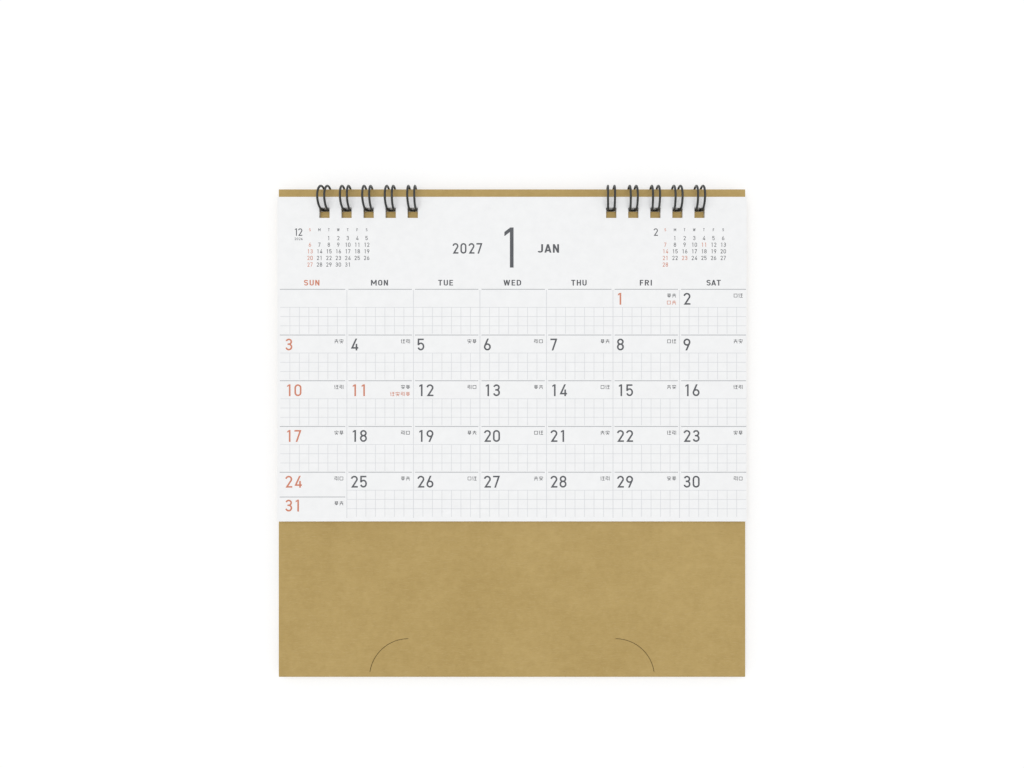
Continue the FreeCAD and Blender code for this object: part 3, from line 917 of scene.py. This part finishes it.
wire = {
    "radius": 0.42 * mm,
    "legSpacing": 2.6 * mm,
    "rootRadius": 1.0 * mm,
    "rootAngle": 52.406,        # degrees from the page side towards the back
    "tipAngle": 7.308,
    # the legs stand this much closer at the back, wider in front and closer at the tip
    "spread": (-0.08, 0.06, -0.09),
    # each ring's lean along X in millimetres, in front and at the back
    "frontLean": (-0.34, -0.15, -0.19, -0.18, -0.11, -0.52, -0.34, -0.42, -0.36, -0.36),
    "backLean": (0.34, -0.29, -0.28, 0.02, -0.31, 0.14, -0.18, -0.10, -0.18, 0.05),
    "frontPeak": 0.69,           # share of the leg's length where it leans most
    "backPeak": 0.31,
    "leanSharpness": 6.45,
    "legSteps": 52,
    "tipSteps": 12,
    "rootSteps": 6,
    "roundness": 5,              # gives the wire 14 sides
    "coatThickness": 0.07 * mm,  # the rim round the steel of a cut end
}
ringRadius = ringAxis.z - wire["radius"]


def onRing(x, angle, along=0.0):
    # a point on the middle line of the wire; along steps off the ring along its tangent
    turn = math.radians(angle)
    outward = Vector((0, -math.cos(turn), -math.sin(turn)))
    backward = Vector((0, -math.sin(turn), math.cos(turn)))
    return Vector((x, ringAxis.y, ringAxis.z)) + outward * ringRadius + backward * along


def leanShare(share, peak):
    # 0 at both ends of a leg and 1 at its peak
    first, last = wire["leanSharpness"] * peak, wire["leanSharpness"] * (1 - peak)
    return (share / peak) ** first * ((1 - share) / (1 - peak)) ** last


def ringPath(x, frontLean, backLean):
    half, bend = wire["legSpacing"] / 2, wire["rootRadius"]
    root, tip = wire["rootAngle"], 360 + wire["tipAngle"]

    def legPoint(hand, angle):
        share = (angle - root) / (tip - root)
        back, front = leanShare(share, wire["backPeak"]), leanShare(share, wire["frontPeak"])
        swing = (frontLean * front + backLean * back) * mm
        backSpread, frontSpread, tipSpread = wire["spread"]
        apart = 1 + backSpread * back + frontSpread * front + tipSpread * share ** 3
        return onRing(x + hand * half * apart + swing, angle)

    def rootBend(hand):
        points = []
        for i in range(wire["rootSteps"]):
            turn = math.radians(90 * i / wire["rootSteps"])
            away = half + bend - bend * math.sin(turn)
            points.append(onRing(x + hand * away, root, bend * math.cos(turn)))
        return points

    leg = [root + (tip - root) * i / wire["legSteps"] for i in range(wire["legSteps"] + 1)]
    path = rootBend(-1) + [legPoint(-1, angle) for angle in leg]
    first, last = legPoint(-1, tip), legPoint(1, tip)
    across = (last - first) / 2
    forward = onRing(0, tip, -1) - onRing(0, tip)
    for i in range(1, wire["tipSteps"]):
        turn = math.pi * i / wire["tipSteps"]
        path.append((first + last) / 2 - across * math.cos(turn) + forward * across.length * math.sin(turn))
    path += [legPoint(1, angle) for angle in reversed(leg)]
    return path + list(reversed(rootBend(1)))


def makeComb(side, node):
    middles = ringPlaces(side)
    firstRing = len(middles) if side > 0 else 0
    spineHalf = sheets["pitch"] / 2
    path = [onRing(middles[0] - spineHalf, wire["rootAngle"], wire["rootRadius"])]
    for ring, x in enumerate(middles, firstRing):
        path += ringPath(x, wire["frontLean"][ring], wire["backLean"][ring])
    path.append(onRing(middles[-1] + spineHalf, wire["rootAngle"], wire["rootRadius"]))

    curve = bpy.data.curves.new(node + "_path", "CURVE")
    curve.dimensions = "3D"
    curve.bevel_depth = wire["radius"]
    curve.bevel_resolution = wire["roundness"]
    curve.use_fill_caps = True
    spline = curve.splines.new("POLY")
    spline.points.add(len(path) - 1)
    for point, place in zip(spline.points, path):
        point.co = (*place, 1)
    carrier = bpy.data.objects.new(node + "_path", curve)
    mesh = bpy.data.meshes.new_from_object(carrier)
    bpy.data.objects.remove(carrier)

    bm = bmesh.new()
    bm.from_mesh(mesh)
    bpy.data.meshes.remove(mesh)
    bmesh.ops.remove_doubles(bm, verts=bm.verts, dist=1e-7)
    bmesh.ops.recalc_face_normals(bm, faces=bm.faces)
    fans = [face for face in bm.faces if len(face.verts) == 3]
    caps = bmesh.ops.dissolve_faces(bm, faces=fans)["region"]   # one face over each cut end
    for face in bm.faces:
        face.smooth = len(face.verts) == 4
    bmesh.ops.inset_individual(bm, faces=caps, thickness=wire["coatThickness"])
    for face in caps:
        face.material_index = 1
    piece = finishPiece(node + "_round", bm, "stand", [wireCoat, cutSteel])
    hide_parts(node)
    return piece


for side, node in ((-1, "wire_left"), (1, "wire_right")):
    comb = makeComb(side, node)
    print("wire bent:", comb.name, len(comb.data.polygons))


studio = {
    "floorSize": 9.0,
    "floorDrop": 0.03 * mm,      # under the lowest point of the part
    "floorTone": (0.86, 0.86, 0.86),
    "floorRoughness": 0.9,
    "floorLift": 0.17,           # seen by camera, glossy and transmission rays only
    "world": 0.60,
    "sun": 1.29,
    "sunFrom": (-0.12, 0.18, 0.98),
    "sunWidth": 55,              # degrees; a wide window of light
}


def seenRays(tree):
    # 1 for camera, glossy and transmission rays
    path = addNode(tree, "ShaderNodeLightPath")
    seen = mathNode(tree, "ADD", path.outputs["Is Camera Ray"], path.outputs["Is Glossy Ray"])
    return mathNode(tree, "ADD", seen, path.outputs["Is Transmission Ray"], clamp=True)


def makeFloor():
    bm = bmesh.new()
    bmesh.ops.create_grid(bm, x_segments=1, y_segments=1, size=studio["floorSize"] / 2)
    bmesh.ops.translate(bm, vec=(0, 0, cadBounds[0][2] - studio["floorDrop"]), verts=bm.verts)
    mesh = bpy.data.meshes.new("floor")
    bm.to_mesh(mesh)
    bm.free()
    floor = bpy.data.objects.new("floor", mesh)
    bpy.context.scene.collection.objects.link(floor)
    material, tree, shader = newMaterial("Studio floor")
    shader.inputs["Base Color"].default_value = (*studio["floorTone"], 1)
    shader.inputs["Roughness"].default_value = studio["floorRoughness"]
    shader.inputs["Specular IOR Level"].default_value = 0.0
    shader.inputs["Emission Color"].default_value = (1, 1, 1, 1)
    lift = mathNode(tree, "MULTIPLY", seenRays(tree), studio["floorLift"])
    tree.links.new(lift, shader.inputs["Emission Strength"])
    mesh.materials.append(material)


def makeWorld():
    world = bpy.data.worlds.new("Studio")
    world.use_nodes = True
    tree = world.node_tree
    background = tree.nodes["Background"]
    background.inputs["Color"].default_value = (1, 1, 1, 1)
    strength = spread(tree, seenRays(tree), 0, 1, studio["world"], 1.0)
    tree.links.new(strength, background.inputs["Strength"])
    bpy.context.scene.world = world


def addWindowLight():
    light = bpy.data.lights.new("Window light", "SUN")
    light.energy = studio["sun"]
    light.angle = math.radians(studio["sunWidth"])
    lamp = bpy.data.objects.new("Window light", light)
    lamp.rotation_euler = (-Vector(studio["sunFrom"])).to_track_quat("-Z", "Y").to_euler()
    bpy.context.scene.collection.objects.link(lamp)


view = {
    "aboveBoard": 0.255,         # metres, as the next two
    "frameWidth": 0.3952,        # seen at the front panel's height
    "downFromTop": 0.0751,       # board's top edge to the middle of the frame
    "sensor": 36.0,
}


def addCamera():
    camera = bpy.data.cameras.new("Camera")
    camera.sensor_width = view["sensor"]
    camera.lens = view["sensor"] * view["aboveBoard"] / view["frameWidth"]
    camera.clip_start = 0.01
    eye = bpy.data.objects.new("Camera", camera)
    eye.location = (0, boardHigh.y - view["downFromTop"], boardHigh.z + view["aboveBoard"])
    bpy.context.scene.collection.objects.link(eye)
    bpy.context.scene.camera = eye


makeFloor()
makeWorld()
addWindowLight()
addCamera()
bpy.context.scene.view_settings.view_transform = "Standard"
print("studio set")
